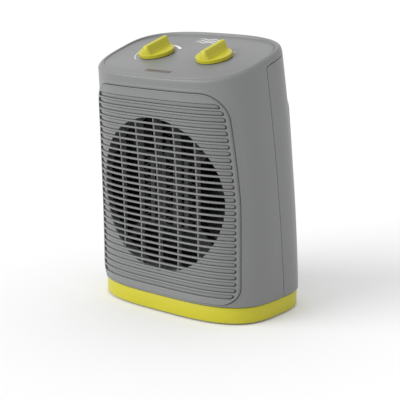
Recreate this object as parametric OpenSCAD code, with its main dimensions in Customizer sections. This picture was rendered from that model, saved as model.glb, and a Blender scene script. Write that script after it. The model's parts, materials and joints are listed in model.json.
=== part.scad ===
// Compact ceramic fan heater with a slatted front, two top knobs and a coloured plinth.
// +Z is up, the warm air leaves towards -Y, and the origin is under the middle of the feet.

/* [Body] */
// Width of the body at the plinth
body_w = 200; // [194:1:206]
// Depth from the widest line to the front at the plinth
body_front = 66.5; // [64:0.5:69]
// Depth from the widest line to the back at the plinth
body_rear = 63.5; // [61:0.5:66]
// How square the front corners are, 2 is an ellipse
front_square = 3.25; // [3:0.05:3.5]
// How square the back corners are, 2 is an ellipse
rear_square = 3.3; // [3:0.05:3.5]
// Extra half width halfway up the sides
side_swell = 2.8; // [2:0.2:3.4]
// How far the front is hollowed halfway up
front_hollow = 5.7; // [5:0.1:6.4]
// Extra depth halfway up the back
rear_swell = 2.8; // [2:0.2:3.4]
// Wall thickness of the moulded shells
wall = 2.4; // [2.2:0.1:2.6]

/* [Top] */
// Width of the top
top_w = 184; // [180:1:188]
// Depth of the top in front of its widest line
top_front = 67.1; // [65:0.1:69]
// Depth of the top behind its widest line
top_rear = 48.7; // [47:0.1:50]
// How far the top leans forward over the plinth
top_lean = 12.2; // [11:0.1:13]
// Slope of the control panel
top_slope = 16.5; // [15:0.5:18]
// Height of the control panel above the widest line of the body
top_h = 256.8; // [255:0.1:259]
// Width of the rounded rim around the panel
rim_w = 5; // [4:0.5:6]
// Depth of the panel below the rim at the back
rim_depth = 1.6; // [1.2:0.1:2]
// Height of the band that the front shell keeps above the rear shell
band_h = 7; // [6:0.5:8]

/* [Grille] */
// Half width of the front grille panel
grille_half_w = 87; // [85:0.5:88]
// Height of the lower edge of the grille panel
grille_low = 21; // [20.5:0.5:23]
// Height of the upper edge of the grille panel
grille_top = 221; // [219:0.5:223]
// How far the grille panel stands out of the shell
grille_proud = 1.7; // [1.4:0.1:2]
// Distance from slat to slat
slat_pitch = 6.27; // [6.2:0.01:6.3]
// Height of one slat
slat_h = 2.2; // [2:0.1:2.4]
// Number of slats
slat_count = 31; // [29:1:31]
// Radius of the round air outlet
outlet_r = 75.6; // [74:0.2:76]
// Height of the fan axis
axis_z = 118.7; // [117:0.1:120]

/* [Base] */
// Height of the feet
foot_h = 2; // [1.6:0.2:2.4]
// Height of the plinth with its feet
plinth_top = 18; // [17.5:0.1:18]
// How far the plinth is set in from the shell
plinth_inset = 0.5; // [0.3:0.1:1]
// Radius of a foot
foot_r = 8; // [7:0.5:9]
// Half the distance between the feet from side to side
foot_x = 66; // [60:1:70]
// Half the distance between the feet from front to back
foot_y = 40; // [36:1:42]
// Travel of the tip-over plunger
plunger_travel = 4; // [3:0.5:4]

/* [Controls] */
// Half the distance between the knobs
knob_x = 36; // [34:0.5:38]
// Position of the knobs from front to back
knob_y = -18; // [-20:0.5:-16]
// Radius of the knob skirt
knob_r = 17.8; // [17:0.1:18.5]
// Height of the knob skirt
skirt_h = 2.6; // [2.4:0.1:3]
// Height of the knob with its wing
knob_h = 12; // [11:0.5:14]
// Length of the indicator lens
lens_w = 32; // [30:1:34]
// Depth of the indicator lens
lens_d = 6; // [5:0.5:7]
// Position of the indicator lens from front to back
lens_y = -58; // [-59:0.5:-57]

/* [Fan and heater] */
// Inner radius of the air duct
duct_r = 76; // [75.8:0.1:76.5]
// Radius of the fan
fan_r = 72; // [70:0.5:73]
// Number of fan blades
blade_count = 5; // [5:1:7]
// Radius of the motor
motor_r = 25; // [23:0.5:26]
// Radius of the motor shaft
shaft_r = 2; // [2:0.5:3]
// Width and height of the ceramic element
element_w = 66; // [60:1:68]
// Depth of the ceramic element
element_d = 15; // [12:1:16]

/* [Hidden] */
widest_y = 6.3;              // where the widest line of the plinth lies
shell_z = plinth_top + 0.3;  // lower edge of the shells
top_square_front = front_square + 0.1;
top_square_rear = rear_square - 0.45;
ring_points = 64;
running = 0.05;              // radial clearance of a shaft in its bearing
press_gap = 0.02;            // radial clearance of parts that are pressed together
fit_gap = 0.3;               // gap between neighbouring shells
slat_depth = 2.2;
motor_front = 8;             // Y of the motor's front face
motor_back = 34;             // Y of the motor's back face
duct_front = -44;            // Y of the duct's front end
duct_back = 14;              // Y of the duct's back end
fan_front = -20;             // Y of the fan's front end
fan_back = 3;                // Y of the fan's back end
element_y = -43;             // Y of the element's front face
panel_t = 2.6;               // thickness of the control panel
bracket_drop = 10;           // the control bracket below the panel surface
plate_z = 2.6;               // underside of the base plate
plate_t = 2;
switch_x = 40;
switch_y = 24;
mid_y = widest_y + (body_rear - body_front) / 2; // middle of the plinth from front to back
screw_x = 62;                // the rear and bracket screws from the middle
screw_low = 30;              // height of the lower rear screws
screw_high = 234;            // height of the upper rear screws
boss_l = 12;
gland_x = -42;
gland_z = 34;
gland_r = 7;
gland_bore_r = 4;

function swell(t) = 4 * t * (1 - t);
function power(v, e) = sign(v) * pow(abs(v), e);
function mix(a, b, t) = a + (b - a) * t;
function slope_z(y) = top_h + tan(top_slope) * (y - widest_y);

// The control panel lies a little flatter than the rim, so that it sinks towards the back
panel_front = widest_y - top_lean - top_front;
panel_dip = rim_depth / (top_front + top_rear);
panel_slope = atan(tan(top_slope) - panel_dip);
function panel_z(y) = slope_z(y) - 0.1 - panel_dip * (y - panel_front);

// The superellipse around the plinth and the one around the top, as [x, y] at an angle
function low_point(a, q, g) = let(front = sin(a) < 0, n = front ? front_square : rear_square,
    d = front ? body_front - front_hollow * q : body_rear + rear_swell * q)
    [(body_w / 2 + side_swell * q + g) * power(cos(a), 2 / n),
    widest_y + (d + g) * power(sin(a), 2 / n)];
function top_point(a, q, g) = let(front = sin(a) < 0,
    n = front ? top_square_front : top_square_rear,
    d = front ? top_front - front_hollow * q : top_rear + rear_swell * q)
    [(top_w / 2 + side_swell * q + g) * power(cos(a), 2 / n),
    widest_y - top_lean + (d + g) * power(sin(a), 2 / n)];

// Height of the top edge at an angle, and a point on the skin at a share t of that height
function edge_z(a) = slope_z(top_point(a, 0, 0)[1]);
function skin(a, t, g) = let(q = swell(t), p = mix(low_point(a, q, g), top_point(a, q, g), t))
    [p[0], p[1], mix(shell_z, edge_z(a), t)];
function skin_at(a, z, g) = skin(a, (z - shell_z) / (edge_z(a) - shell_z), g);

// A closed ring on the skin, and one on the sloping top, set in by g and down by drop
function skin_ring(t, g) = [for (i = [0 : ring_points - 1]) skin(360 * i / ring_points, t, g)];
function cap_ring(g, drop) = [for (i = [0 : ring_points - 1])
    let(p = top_point(360 * i / ring_points, 0, g)) [p[0], p[1], slope_z(p[1]) - drop]];
function panel_ring(g, drop) = [for (i = [0 : ring_points - 1])
    let(p = top_point(360 * i / ring_points, 0, g)) [p[0], p[1], panel_z(p[1]) - drop]];

// Y of the back of the body at a place and height, found by halving the angle
function rear_y(x, z, lo = 0, hi = 90, n = 18) = let(mid = (lo + hi) / 2)
    n == 0 ? skin_at(mid, z, 0)[1] :
    skin_at(mid, z, 0)[0] > x ? rear_y(x, z, mid, hi, n - 1) : rear_y(x, z, lo, mid, n - 1);

// Closes a stack of rings into one solid
module stack(rings) {
    n = len(rings[0]);
    m = len(rings);
    sides = [for (j = [0 : m - 2], i = [0 : n - 1]) each let(k = (i + 1) % n)
        [[j * n + i, (j + 1) * n + k, j * n + k], [j * n + i, (j + 1) * n + i, (j + 1) * n + k]]];
    polyhedron([for (r = rings) each r],
        concat(sides, [[for (i = [0 : n - 1]) i]], [[for (i = [n - 1 : -1 : 0]) (m - 1) * n + i]]));
}

// The whole body as one lump, with a rounded rim and a sunken panel on top
module body_lump() {
    stack(concat([for (t = [0 : 0.1 : 0.91]) skin_ring(t, 0)], [skin_ring(0.97, 0),
        cap_ring(-0.4, 2.4), cap_ring(-1.5, 0.8), cap_ring(-3, 0.1), cap_ring(-rim_w, 0),
        panel_ring(-rim_w - 1, 0)]));
}

module body_hollow() {
    stack(concat([skin_ring(-0.03, -wall)], [for (t = [0.05 : 0.1 : 0.86]) skin_ring(t, -wall)],
        [cap_ring(-wall - 1, 6), panel_ring(-wall - 3, panel_t)]));
}

// A plain slice of the body between two heights, set in or out by g
module body_slice(z0, z1, g) {
    steps = 8;
    stack([for (j = [0 : steps]) [for (i = [0 : ring_points - 1])
        skin_at(360 * i / ring_points, mix(z0, z1, j / steps), g)]]);
}

// Looks along Y at a shape that is drawn in X and Z, and gives it a depth from y0 to y1
module along_y(y0, y1) {
    translate([0, y1, 0]) rotate([90, 0, 0]) linear_extrude(y1 - y0) children();
}

module on_axis(y) {
    translate([0, y, axis_z]) rotate([-90, 0, 0]) children();
}

module on_panel(x, y, lift) {
    translate([x, y, panel_z(y)]) rotate([panel_slope, 0, 0]) translate([0, 0, lift]) children();
}

module rounded(w, z0, z1, r) {
    for (s = [-1, 1]) {
        translate([s * (w - r), z0 + r]) circle(r, $fn = 48);
        translate([s * (w - r), z1 - r]) circle(r, $fn = 48);
    }
    translate([-w, z0 + r]) square([2 * w, z1 - z0 - 2 * r]);
    translate([-w + r, z0]) square([2 * w - 2 * r, z1 - z0]);
}

// What the front shell keeps, drawn in Y and Z: all in front of the side seam and the top band
module seam_side(gap) {
    seam_low = widest_y + 5 - gap;
    seam_high = widest_y - 19.5 - gap;
    knee = slope_z(seam_high) - band_h + gap;
    rotate([90, 0, 90]) translate([0, 0, -150]) linear_extrude(300)
        polygon([[-120, 0], [seam_low, 0], [seam_high, knee - 4], [seam_high + 1.2, knee - 1.4],
            [seam_high + 4, knee + 1.2], [120, slope_z(120) - band_h + gap], [120, 340],
            [-120, 340]]);
}

module grille_outline(grow) {
    rounded(grille_half_w + grow, grille_low - grow, grille_top + grow, 16);
}

module rear_outline() {
    rounded(84, 24, 213, 14);
}

module gland_hole() {
    translate([gland_x, 0, gland_z]) rotate([-90, 0, 0])
        cylinder(r = gland_r + running, h = 100, $fn = 64);
}

module front_shell() {
    color([0.46, 0.47, 0.46]) difference() {
        body_lump();
        body_hollow();
        difference() {
            translate([-150, -150, -10]) cube([300, 300, 400]);
            seam_side(0);
        }
        along_y(-120, -20) grille_outline(fit_gap);
        for (s = [-1, 1]) on_panel(s * knob_x, knob_y, -10) cylinder(r = 4.2, h = 20, $fn = 48);
        on_panel(0, lens_y, 0) cube([lens_w + 0.4, lens_d + 0.4, 20], center = true);
    }
    color([0.46, 0.47, 0.46]) for (s = [-1, 1]) {
        on_panel(s * screw_x, knob_y, -bracket_drop) difference() {
            cylinder(r = 4, h = bracket_drop - panel_t + 0.6, $fn = 32);
            translate([0, 0, -1]) cylinder(r = 1.25, h = 6, $fn = 24);
        }
        translate([s * screw_x, 0, screw_high]) rotate([-90, 0, 0]) difference() {
            translate([0, 0, -4]) cylinder(r = 4.5, h = rear_y(screw_x, screw_high) - boss_l + 4,
                $fn = 32);
            cylinder(r = 1.25, h = 60, $fn = 24);
        }
        on_panel(s * screw_x - 1.5, 8, -22) cube([3, 14, 22 - panel_t + 0.6]);
    }
}

// Columns of the grille run around the front from corner to corner
grille_angles = concat([216, 219], [for (i = [0 : 16]) 221 + 98 * i / 16], [321, 324]);
slat_top_z = 213.9;
function slat_z(k) = slat_top_z - slat_pitch * k;
grille_levels = concat([[grille_low, grille_proud]],
    [for (k = [slat_count - 1 : -1 : 1]) each
        [[slat_z(k) + slat_h / 2, grille_proud],
        [slat_z(k) + slat_h / 2 + 0.3, grille_proud - slat_depth - 0.3],
        [slat_z(k - 1) - slat_h / 2 - 0.3, grille_proud - slat_depth - 0.3],
        [slat_z(k - 1) - slat_h / 2, grille_proud]]],
    [[grille_top, grille_proud]]);

// The grooved front of the grille, filled back to a flat plane
module grooved_block() {
    n = len(grille_angles);
    m = len(grille_levels);
    function edge(i) = i < 2 || i > n - 3;
    points = [for (j = [0 : m - 1], i = [0 : n - 1]) skin_at(grille_angles[i],
        grille_levels[j][0], edge(i) ? grille_proud : grille_levels[j][1])];
    back = [for (j = [0 : m - 1]) each [[points[j * n][0], -30, points[j * n][2]],
        [points[j * n + n - 1][0], -30, points[j * n][2]]]];
    front_faces = [for (j = [0 : m - 2], i = [0 : n - 2]) each let(p = j * n + i)
        [[p, p + n + 1, p + 1], [p, p + n, p + n + 1]]];
    b = m * n;
    left_faces = [for (j = [0 : m - 2]) each let(p = j * n, q = b + 2 * j)
        [[p, q, q + 2], [p, q + 2, p + n]]];
    right_faces = [for (j = [0 : m - 2]) each let(p = j * n + n - 1, q = b + 2 * j + 1)
        [[p, q + 2, q], [p, p + n, q + 2]]];
    floor_face = [concat([for (i = [0 : n - 1]) i], [b + 1, b])];
    roof_face = [concat([for (i = [n - 1 : -1 : 0]) (m - 1) * n + i],
        [b + 2 * m - 2, b + 2 * m - 1])];
    back_faces = [concat([for (j = [0 : m - 1]) b + 2 * j + 1],
        [for (j = [m - 1 : -1 : 0]) b + 2 * j])];
    polyhedron(concat(points, back),
        concat(front_faces, left_faces, right_faces, floor_face, roof_face, back_faces));
}

module front_grille() {
    back_g = grille_proud - slat_depth;
    color([0.6, 0.61, 0.6]) difference() {
        intersection() {
            grooved_block();
            along_y(-120, -20) grille_outline(0);
        }
        body_slice(10, 226, back_g - 1.8);
        intersection() {
            on_axis(-100) cylinder(r = outlet_r, h = 80, $fn = 96);
            body_slice(10, 226, back_g);
        }
    }
    color([0.6, 0.61, 0.6]) intersection() {
        body_slice(10, 226, back_g + 0.4);
        union() {
            for (i = [-2 : 2]) translate([i * 23.5 - 0.9, -100, 20])
                cube([1.8, 46.5, 2 * axis_z - 40]);
            on_axis(-80) difference() {
                cylinder(r = outlet_r + 2.6, h = 80 + duct_front - 0.3, $fn = 96);
                translate([0, 0, -1]) cylinder(r = outlet_r, h = 90, $fn = 96);
            }
        }
        on_axis(-100) cylinder(r = outlet_r + 2.6, h = 80, $fn = 96);
    }
}

module rear_shell() {
    color([0.44, 0.45, 0.44]) difference() {
        body_lump();
        body_hollow();
        seam_side(-fit_gap);
        along_y(20, 120) rounded(72, 54, 204, 12);
        gland_hole();
        for (s = [-1, 1], z = [screw_low, screw_high])
            translate([s * screw_x, rear_y(screw_x, z), z]) rotate([-90, 0, 0])
                translate([0, 0, -4]) cylinder(r = 3.4, h = 12, $fn = 32);
    }
    color([0.44, 0.45, 0.44]) for (s = [-1, 1], z = [screw_low, screw_high])
        translate([s * screw_x, rear_y(screw_x, z) - boss_l + 0.3, z]) rotate([-90, 0, 0])
            difference() {
                cylinder(r = 5, h = boss_l - 2.3, $fn = 32);
                translate([0, 0, boss_l - 4.3]) cylinder(r = 3.4, h = 9, $fn = 32);
                translate([0, 0, -1]) cylinder(r = 1.6, h = 20, $fn = 24);
            }
}

module rear_grille() {
    color([0.42, 0.43, 0.42]) difference() {
        intersection() {
            body_slice(20, 216, 2.2);
            along_y(20, 120) rear_outline();
        }
        body_slice(10, 226, 0.2);
        for (i = [-1.5 : 1 : 1.5], k = [0 : 14])
            translate([i * 32 - 14, 20, 60 + k * 9.4]) cube([28, 100, 4.2]);
        gland_hole();
        for (s = [-1, 1]) translate([s * screw_x, 20, screw_low]) rotate([-90, 0, 0])
            cylinder(r = 3.6, h = 100, $fn = 32);
    }
}

module plinth_profile(g) {
    polygon([for (i = [0 : ring_points - 1]) low_point(360 * i / ring_points, 0, g)]);
}

module base_plinth() {
    color([0.8, 0.77, 0.2]) difference() {
        union() {
            translate([0, 0, foot_h]) linear_extrude(plinth_top - foot_h)
                plinth_profile(-plinth_inset);
            linear_extrude(shell_z + 2) plinth_profile(-wall - 0.4);
        }
        translate([0, 0, -1]) linear_extrude(plinth_top - 1.4) plinth_profile(-3.4);
        translate([0, 0, plinth_top + 0.6]) linear_extrude(10) plinth_profile(-5);
        translate([0, 0, -1]) linear_extrude(plate_z + 1) plinth_profile(-2.2);
        translate([switch_x, switch_y, 0]) cylinder(r = 3.6, h = 40, $fn = 48);
    }
    color([0.8, 0.77, 0.2]) {
        for (sx = [-1, 1], sy = [-1, 1]) translate([sx * 52, mid_y + sy * 36, plate_z + plate_t])
            difference() {
                cylinder(r = 4, h = 12, $fn = 32);
                translate([0, 0, -1]) cylinder(r = 1.25, h = 11, $fn = 24);
            }
        for (s = [-1, 1]) difference() {
            translate([s * screw_x - 5, rear_y(screw_x, screw_low) - boss_l - 10, plinth_top - 1])
                cube([10, 10, screw_low + 6 - plinth_top]);
            translate([s * screw_x, 0, screw_low]) rotate([-90, 0, 0])
                cylinder(r = 1.25, h = 100, $fn = 24);
        }
    }
}

module base_plate() {
    color([0.12, 0.12, 0.12]) difference() {
        translate([0, 0, plate_z]) linear_extrude(plate_t) plinth_profile(-3.6);
        translate([switch_x, switch_y, 0]) cylinder(r = 3 + running, h = 40, $fn = 48);
        for (sx = [-1, 1], sy = [-1, 1]) {
            translate([sx * 52, mid_y + sy * 36, 0]) cylinder(r = 1.6, h = 40, $fn = 24);
            translate([sx * foot_x, mid_y + sy * foot_y, 0]) cylinder(r = 3.05, h = 40, $fn = 32);
        }
    }
}

module foot_pads() {
    color([0.1, 0.1, 0.1]) for (sx = [-1, 1], sy = [-1, 1])
        translate([sx * foot_x, mid_y + sy * foot_y, 0]) {
            cylinder(r = foot_r, h = plate_z, $fn = 48);
            cylinder(r = 3, h = plate_z + plate_t, $fn = 32);
        }
}

module indicator_lens() {
    color([0.62, 0.52, 0.5]) on_panel(0, lens_y, -1.2)
        cube([lens_w, lens_d, 2.6], center = true);
}

module indicator_lamp() {
    color([0.9, 0.5, 0.3]) on_panel(0, lens_y, -6.6) rotate([0, 90, 0])
        translate([0, 0, -9]) cylinder(r = 2.4, h = 18, $fn = 32);
}

module control_bracket() {
    color([0.7, 0.7, 0.68]) on_panel(0, knob_y, -bracket_drop - 1.5) difference() {
        translate([-70, -18, 0]) cube([140, 36, 1.5]);
        for (s = [-1, 1]) {
            translate([s * knob_x, 0, -1]) cylinder(r = 4.5, h = 4, $fn = 32);
            translate([s * screw_x, 0, -1]) cylinder(r = 1.6, h = 4, $fn = 24);
        }
    }
}

module thermostat_body() {
    color([0.85, 0.83, 0.76]) on_panel(-knob_x, knob_y, -bracket_drop - 1.5) difference() {
        union() {
            translate([-13, -11, -12]) cube([26, 22, 12]);
            translate([0, 0, -12]) cylinder(r = 4.3, h = 16, $fn = 32);
        }
        translate([0, 0, -10]) cylinder(r = 3 + running, h = 30, $fn = 48);
    }
    color([0.75, 0.6, 0.3]) on_panel(-knob_x, knob_y, -bracket_drop - 13.5)
        for (x = [-9, 9]) translate([x - 3.15, -0.4, -9]) cube([6.3, 0.8, 9.2]);
}

module selector_body() {
    color([0.15, 0.15, 0.16]) on_panel(knob_x, knob_y, -bracket_drop - 1.5) difference() {
        union() {
            translate([0, 0, -15]) cylinder(r = 13, h = 15, $fn = 64);
            translate([0, 0, -12]) cylinder(r = 4.3, h = 16, $fn = 32);
        }
        translate([0, 0, -10]) cylinder(r = 3 + running, h = 30, $fn = 48);
    }
    color([0.75, 0.6, 0.3]) on_panel(knob_x, knob_y, -bracket_drop - 16.5)
        for (a = [45 : 90 : 315]) rotate([0, 0, a]) translate([8, -2.4, -8]) cube([0.8, 4.8, 8.2]);
}

module spindle(x) {
    color([0.86, 0.85, 0.8]) on_panel(x, knob_y, -bracket_drop - 11.4)
        cylinder(r = 3, h = bracket_drop + 11.4 + 8, $fn = 48);
}

module thermostat_spindle() {
    spindle(-knob_x);
}

module selector_spindle() {
    spindle(knob_x);
}

module knob(x) {
    color([0.85, 0.8, 0.15]) on_panel(x, knob_y, 0.5) difference() {
        union() {
            cylinder(r = knob_r, h = skirt_h - 0.8, $fn = 96);
            cylinder(r1 = knob_r, r2 = knob_r - 1, h = skirt_h, $fn = 96);
            hull() {
                translate([-5, -knob_r + 1, 1]) cube([10, 2 * knob_r - 2, 1]);
                translate([-2.4, -knob_r + 1.2, knob_h - 1.4]) cube([4.8, 2 * knob_r - 2.4, 1.4]);
            }
        }
        translate([0, 0, -1]) cylinder(r = 3 + press_gap, h = 8.6, $fn = 48);
        difference() {
            translate([0, 0, -1]) cylinder(r = knob_r - 2, h = 2.6, $fn = 96);
            translate([0, 0, -2]) cylinder(r = 5.4, h = 5, $fn = 48);
        }
    }
}

module thermostat_knob() {
    knob(-knob_x);
}

module selector_knob() {
    knob(knob_x);
}

module fan_duct() {
    color([0.12, 0.12, 0.13]) difference() {
        union() {
            on_axis(duct_front) cylinder(r = duct_r + 2.4, h = duct_back - duct_front, $fn = 96);
            on_axis(duct_back - 3) cylinder(r = duct_r + 6, h = 3, $fn = 96);
            for (a = [45 : 90 : 315]) on_axis(duct_back - 3) rotate([0, 0, a])
                translate([duct_r + 6, 0, 0]) cylinder(r = 5, h = 3, $fn = 32);
        }
        on_axis(-100) cylinder(r = duct_r, h = 200, $fn = 96);
        for (a = [45 : 90 : 315]) on_axis(duct_back - 10) rotate([0, 0, a])
            translate([duct_r + 6, 0, 0]) cylinder(r = 1.6, h = 20, $fn = 24);
    }
}

module motor_bracket() {
    color([0.66, 0.67, 0.68]) difference() {
        union() {
            on_axis(duct_back) cylinder(r = motor_r + 5, h = 3, $fn = 64);
            for (a = [45 : 90 : 315]) on_axis(duct_back) rotate([0, 0, a]) {
                translate([motor_r + 2, -5, 0]) cube([duct_r - motor_r + 4, 10, 3]);
                translate([duct_r + 6, 0, 0]) cylinder(r = 5, h = 3, $fn = 32);
            }
        }
        on_axis(0) cylinder(r = motor_r + press_gap, h = 60, $fn = 96);
        for (a = [45 : 90 : 315]) on_axis(0) rotate([0, 0, a])
            translate([duct_r + 6, 0, 0]) cylinder(r = 1.6, h = 60, $fn = 24);
    }
}

module motor_can() {
    depth = motor_back - motor_front;
    color([0.72, 0.73, 0.74]) on_axis(motor_front) difference() {
        union() {
            cylinder(r = motor_r, h = depth, $fn = 96);
            translate([0, 0, -2]) cylinder(r = 8, h = depth + 4, $fn = 48);
        }
        translate([0, 0, 1.5]) cylinder(r = motor_r - 1.5, h = depth - 3, $fn = 96);
        translate([0, 0, -5]) cylinder(r = 5, h = depth + 10, $fn = 48);
    }
}

module motor_stator() {
    color([0.35, 0.3, 0.28]) on_axis(motor_front + 6) difference() {
        cylinder(r = motor_r - 1.5 - press_gap, h = motor_back - motor_front - 12, $fn = 96);
        translate([0, 0, -1]) cylinder(r = 14.5, h = 60, $fn = 96);
    }
}

module motor_bushings() {
    color([0.7, 0.55, 0.3]) for (y = [motor_front - 2, motor_back - 3]) on_axis(y) difference() {
        cylinder(r = 5 - press_gap, h = 5, $fn = 48);
        translate([0, 0, -1]) cylinder(r = shaft_r + running, h = 10, $fn = 48);
    }
}

module motor_rotor() {
    color([0.3, 0.3, 0.32]) on_axis(motor_front + 6) difference() {
        cylinder(r = 14, h = motor_back - motor_front - 12, $fn = 96);
        translate([0, 0, -1]) cylinder(r = shaft_r + press_gap, h = 60, $fn = 48);
    }
}

module motor_shaft() {
    color([0.8, 0.8, 0.82]) on_axis(fan_front - 3)
        cylinder(r = shaft_r, h = motor_back + 4 - fan_front + 3, $fn = 48);
}

module impeller() {
    hub_r = 20;
    color([0.24, 0.25, 0.26]) on_axis(fan_front) difference() {
        union() {
            difference() {
                cylinder(r = hub_r, h = fan_back - fan_front - 2, $fn = 64);
                translate([0, 0, 2.4]) cylinder(r = hub_r - 2, h = 40, $fn = 64);
            }
            cylinder(r = 5, h = fan_back - fan_front - 2, $fn = 48);
            intersection() {
                for (k = [0 : blade_count - 1]) rotate([0, 0, k * 360 / blade_count])
                    linear_extrude(fan_back - fan_front, twist = 52, slices = 10)
                        translate([hub_r - 1, -1]) square([60, 2]);
                cylinder(r = fan_r, h = 60, $fn = 96);
            }
        }
        translate([0, 0, -1]) cylinder(r = shaft_r + press_gap, h = 60, $fn = 48);
    }
}

module impeller_nut() {
    color([0.75, 0.75, 0.72]) on_axis(fan_front - 2.6) difference() {
        cylinder(r = 4, h = 2.6, $fn = 6);
        translate([0, 0, -1]) cylinder(r = shaft_r + press_gap, h = 10, $fn = 48);
    }
}

module heater_frame() {
    half = element_w / 2;
    color([0.2, 0.19, 0.18]) difference() {
        union() {
            translate([-half - 3, element_y, axis_z - half - 3])
                cube([element_w + 6, element_d, element_w + 6]);
            intersection() {
                translate([0, element_y + 3, axis_z]) for (a = [45, -45]) rotate([0, a, 0])
                    translate([-duct_r, 0, -4]) cube([2 * duct_r, element_d - 6, 8]);
                on_axis(-100) cylinder(r = duct_r - 0.2, h = 200, $fn = 96);
            }
        }
        translate([-half, -100, axis_z - half]) cube([element_w, 200, element_w]);
    }
}

bar_count = 4;
bar_w = 5;
fin_count = bar_count + 1;
fin_w = (element_w - bar_count * bar_w) / fin_count;

module ceramic_bars() {
    half = element_w / 2;
    color([0.78, 0.76, 0.72]) for (k = [0 : bar_count - 1])
        translate([-half + fin_w + k * (fin_w + bar_w), element_y + 0.5, axis_z - half])
            cube([bar_w, element_d - 1, element_w]);
}

// One folded strip, zigzagging up between two ceramic bars
fold_count = 26;
fold_t = 1.6;
function fold_x(i) = i % 2 == 0 ? 0.3 : fin_w - fold_t - 0.3;

module heater_fins() {
    rise = (element_w - 1) / fold_count;
    half = element_w / 2;
    color([0.72, 0.73, 0.74]) for (k = [0 : fin_count - 1])
        translate([-half + k * (fin_w + bar_w), 0, axis_z - half + 0.5])
            along_y(element_y + 1, element_y + element_d - 1)
                polygon(concat([for (i = [0 : fold_count]) [fold_x(i), i * rise]],
                    [for (i = [fold_count : -1 : 0]) [fold_x(i) + fold_t, i * rise]]));
}

module heater_terminals() {
    color([0.78, 0.62, 0.3]) for (x = [-20, 0, 20])
        translate([x - 3.15, element_y + element_d, axis_z + element_w / 2 - 6])
            cube([6.3, 5, 0.8]);
}

module thermal_cutout() {
    color([0.62, 0.6, 0.56]) translate([0, element_y + 5, axis_z + element_w / 2 + 3])
        cylinder(r = 8, h = 7, $fn = 64);
    color([0.78, 0.62, 0.3]) for (s = [-1, 1])
        translate([s * 5 - 2.4, element_y + 4.6, axis_z + element_w / 2 + 9.8])
            cube([4.8, 0.8, 7]);
}

module thermal_fuse() {
    color([0.8, 0.8, 0.78]) translate([24, element_y + 5, axis_z + element_w / 2 + 5.2])
        rotate([0, 90, 0]) cylinder(r = 2.2, h = 11, center = true, $fn = 32);
}

module tip_switch() {
    color([0.16, 0.16, 0.17]) translate([switch_x, switch_y, plinth_top + 0.6]) difference() {
        translate([-7, -12, 0]) cube([14, 24, 18]);
        translate([0, 0, -1]) cylinder(r = 3 + running, h = 14, $fn = 48);
    }
}

collar_z = plate_z + plate_t + plunger_travel + 0.2;

module tip_plunger() {
    color([0.85, 0.85, 0.82]) translate([switch_x, switch_y, 0]) {
        cylinder(r = 3, h = plinth_top + 6, $fn = 48);
        translate([0, 0, collar_z]) cylinder(r = 6, h = 1.4, $fn = 48);
    }
}

// The return spring is a wire swept along a helix around the plunger
spring_turns = 3;
wire_r = 0.4;
spring_r = 4.4;
spring_low = collar_z + 1.4 + wire_r;
spring_high = plinth_top - 2.4 - wire_r;
function spring_ring(s) = let(a = 360 * spring_turns * s)
    [for (b = [0 : 60 : 300]) let(r = spring_r + wire_r * cos(b))
    [r * cos(a), r * sin(a), mix(spring_low, spring_high, s) - wire_r * sin(b)]];

module tip_spring() {
    color([0.7, 0.7, 0.72]) translate([switch_x, switch_y, 0])
        stack([for (i = [0 : 48]) spring_ring(i / 48)]);
}

module terminal_block() {
    color([0.88, 0.87, 0.82]) translate([gland_x - 15, 24, plinth_top + 0.6]) difference() {
        cube([30, 16, 14]);
        for (x = [5, 15, 25]) translate([x, -1, 6]) rotate([-90, 0, 0])
            cylinder(r = 2, h = 30, $fn = 32);
    }
}

module cord_gland() {
    color([0.1, 0.1, 0.1]) translate([gland_x, 52, gland_z]) rotate([-90, 0, 0]) difference() {
        union() {
            cylinder(r = gland_r, h = 18.6, $fn = 64);
            cylinder(r = gland_r + 2, h = 7, $fn = 64);
        }
        translate([0, 0, -1]) cylinder(r = gland_bore_r, h = 30, $fn = 64);
    }
}

// A lead is a tube with eight sides that follows its own points
function unit(v) = v / norm(v);
function lead_ring(points, i, r) = let(last = len(points) - 1,
    t = unit(points[min(i + 1, last)] - points[max(i - 1, 0)]),
    u = unit(cross(t, [0, 1, 0])), v = cross(t, u))
    [for (b = [0 : 45 : 315]) points[i] + r * (cos(b) * u + sin(b) * v)];

module lead(points, r) {
    stack([for (i = [0 : len(points) - 1]) lead_ring(points, i, r)]);
}

module inner_leads() {
    color([0.55, 0.12, 0.1]) lead([[-52, 34, 34.4], [-60, 34, 36], [-84, 32, 56], [-87, 28, 80],
        [-88, 12, 150], [-86, 0, 190], [-80, -4, 212], [-66, -6, 221], [-50, -8, 222]], 1.3);
    color([0.15, 0.25, 0.55]) lead([[-42, 34, 34.4], [-50, 36, 42], [-76, 38, 64], [-80, 38, 90],
        [-80, 32, 170], [-72, 28, 200], [-50, 24, 210], [-10, 14, 214], [18, 2, 220]], 1.3);
}

module rear_screws() {
    color([0.3, 0.3, 0.3]) for (s = [-1, 1], z = [screw_low, screw_high])
        translate([s * screw_x, rear_y(screw_x, z) - 4, z]) rotate([-90, 0, 0]) {
            cylinder(r = 3, h = 2, $fn = 32);
            translate([0, 0, 1 - boss_l]) cylinder(r = 1.2, h = boss_l, $fn = 24);
        }
}

module base_screws() {
    color([0.3, 0.3, 0.3]) for (sx = [-1, 1], sy = [-1, 1])
        translate([sx * 52, mid_y + sy * 36, plate_z - 1.6]) {
            cylinder(r = 3, h = 1.6, $fn = 32);
            cylinder(r = 1.2, h = 12, $fn = 24);
        }
}

module motor_screws() {
    color([0.75, 0.75, 0.76]) for (a = [45 : 90 : 315]) on_axis(duct_back - 5)
        rotate([0, 0, a]) translate([duct_r + 6, 0, 0]) {
            cylinder(r = 1.5, h = 9, $fn = 24);
            translate([0, 0, 8]) cylinder(r = 3, h = 2, $fn = 32);
        }
}

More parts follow.
